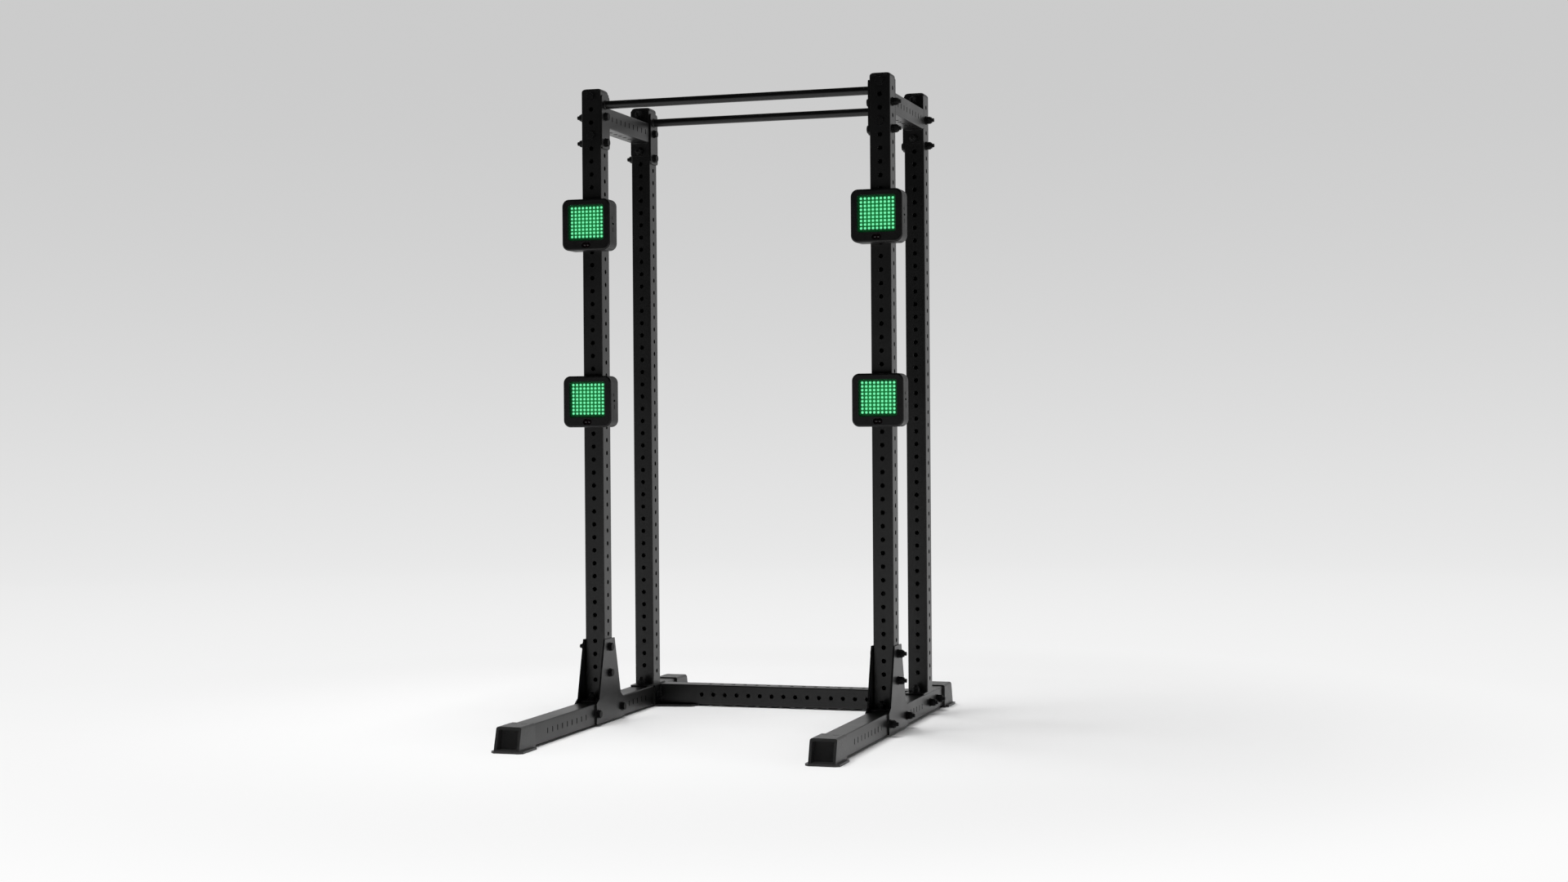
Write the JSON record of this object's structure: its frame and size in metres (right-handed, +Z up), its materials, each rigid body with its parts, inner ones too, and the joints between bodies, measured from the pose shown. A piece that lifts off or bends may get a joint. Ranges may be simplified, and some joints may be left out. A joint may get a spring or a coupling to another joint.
{
  "type": "power cage",
  "caption": "Free-standing power cage of perforated square steel tube with pull-up bars, a rear floor crossmember and sliding light pods on its front uprights.",
  "frame": {"origin": "on the floor, at the centre of the whole footprint's box", "axes": "+Z up, -Y towards the open front where the long feet reach out, +X to the right seen from the front"},
  "size_m": [1.3696, 1.787, 2.4873],
  "materials": {
    "powder_coat": "satin black powder coat",
    "black_zinc": "black zinc plated steel, satin",
    "cap_plastic": "moulded black plastic",
    "boot_rubber": "moulded black elastomer, fine grain",
    "pod_shell": "moulded black plastic, fine texture",
    "pod_front": "moulded black plastic, smooth satin",
    "pod_window": "clear green-tinted acrylic",
    "led_board": "circuit board lit by its lamps",
    "circuit_board": "solder mask",
    "battery": "shrink wrapped cells",
    "magnet": "nickel plated",
    "pod_button": "soft touch rubber key"
  },
  "bodies": {
    "root_frame": {"upright_front_left": "powder_coat", "upright_front_right": "powder_coat", "upright_rear_left": "powder_coat", "upright_rear_right": "powder_coat", "cap_front_left": "cap_plastic", "cap_front_right": "cap_plastic", "cap_rear_left": "cap_plastic", "cap_rear_right": "cap_plastic", "base_tube_left": "powder_coat", "base_tube_right": "powder_coat", "boot_front_left": "boot_rubber", "boot_front_right": "boot_rubber", "boot_rear_left": "boot_rubber", "boot_rear_right": "boot_rubber", "top_crossmember_left": "powder_coat", "top_crossmember_right": "powder_coat", "rear_crossmember": "powder_coat", "pullup_bar_front": "powder_coat", "pullup_bar_rear": "powder_coat", "gusset_left_inner": "powder_coat", "gusset_left_outer": "powder_coat", "gusset_right_inner": "powder_coat", "gusset_right_outer": "powder_coat", "frame_bolts": "black_zinc", "gusset_bolts": "black_zinc", "foot_bolts": "black_zinc", "lock_nuts": "black_zinc", "washers": "black_zinc"},
    "pod_left_upper": {"pod_left_upper_housing": "pod_shell", "pod_left_upper_bezel": "pod_front", "pod_left_upper_window": "pod_window", "pod_left_upper_led_board": "led_board", "pod_left_upper_control_board": "circuit_board", "pod_left_upper_battery": "battery", "pod_left_upper_magnets": "magnet"},
    "pod_left_upper_button": {"pod_left_upper_button": "pod_button"},
    "pod_right_upper": {"pod_right_upper_housing": "pod_shell", "pod_right_upper_bezel": "pod_front", "pod_right_upper_window": "pod_window", "pod_right_upper_led_board": "led_board", "pod_right_upper_control_board": "circuit_board", "pod_right_upper_battery": "battery", "pod_right_upper_magnets": "magnet"},
    "pod_right_upper_button": {"pod_right_upper_button": "pod_button"},
    "pod_left_lower": {"pod_left_lower_housing": "pod_shell", "pod_left_lower_bezel": "pod_front", "pod_left_lower_window": "pod_window", "pod_left_lower_led_board": "led_board", "pod_left_lower_control_board": "circuit_board", "pod_left_lower_battery": "battery", "pod_left_lower_magnets": "magnet"},
    "pod_left_lower_button": {"pod_left_lower_button": "pod_button"},
    "pod_right_lower": {"pod_right_lower_housing": "pod_shell", "pod_right_lower_bezel": "pod_front", "pod_right_lower_window": "pod_window", "pod_right_lower_led_board": "led_board", "pod_right_lower_control_board": "circuit_board", "pod_right_lower_battery": "battery", "pod_right_lower_magnets": "magnet"},
    "pod_right_lower_button": {"pod_right_lower_button": "pod_button"}
  },
  "joints": [
    {"name": "pod_left_upper_height", "type": "slide", "parent": "root_frame", "child": "pod_left_upper", "axis": [0, 0, 1], "range_m": [-0.2, 0.2]},
    {"name": "pod_left_upper_press", "type": "slide", "parent": "pod_left_upper", "child": "pod_left_upper_button", "axis": [-1, 0, 0], "range_m": [0, 0.0012], "stiffness_N_per_m": 500, "springref_m": -0.0012},
    {"name": "pod_right_upper_height", "type": "slide", "parent": "root_frame", "child": "pod_right_upper", "axis": [0, 0, 1], "range_m": [-0.2, 0.2]},
    {"name": "pod_right_upper_press", "type": "slide", "parent": "pod_right_upper", "child": "pod_right_upper_button", "axis": [-1, 0, 0], "range_m": [0, 0.0012], "stiffness_N_per_m": 500, "springref_m": -0.0012},
    {"name": "pod_left_lower_height", "type": "slide", "parent": "root_frame", "child": "pod_left_lower", "axis": [0, 0, 1], "range_m": [-0.25, 0.25]},
    {"name": "pod_left_lower_press", "type": "slide", "parent": "pod_left_lower", "child": "pod_left_lower_button", "axis": [-1, 0, 0], "range_m": [0, 0.0012], "stiffness_N_per_m": 500, "springref_m": -0.0012},
    {"name": "pod_right_lower_height", "type": "slide", "parent": "root_frame", "child": "pod_right_lower", "axis": [0, 0, 1], "range_m": [-0.25, 0.25]},
    {"name": "pod_right_lower_press", "type": "slide", "parent": "pod_right_lower", "child": "pod_right_lower_button", "axis": [-1, 0, 0], "range_m": [0, 0.0012], "stiffness_N_per_m": 500, "springref_m": -0.0012}
  ]
}
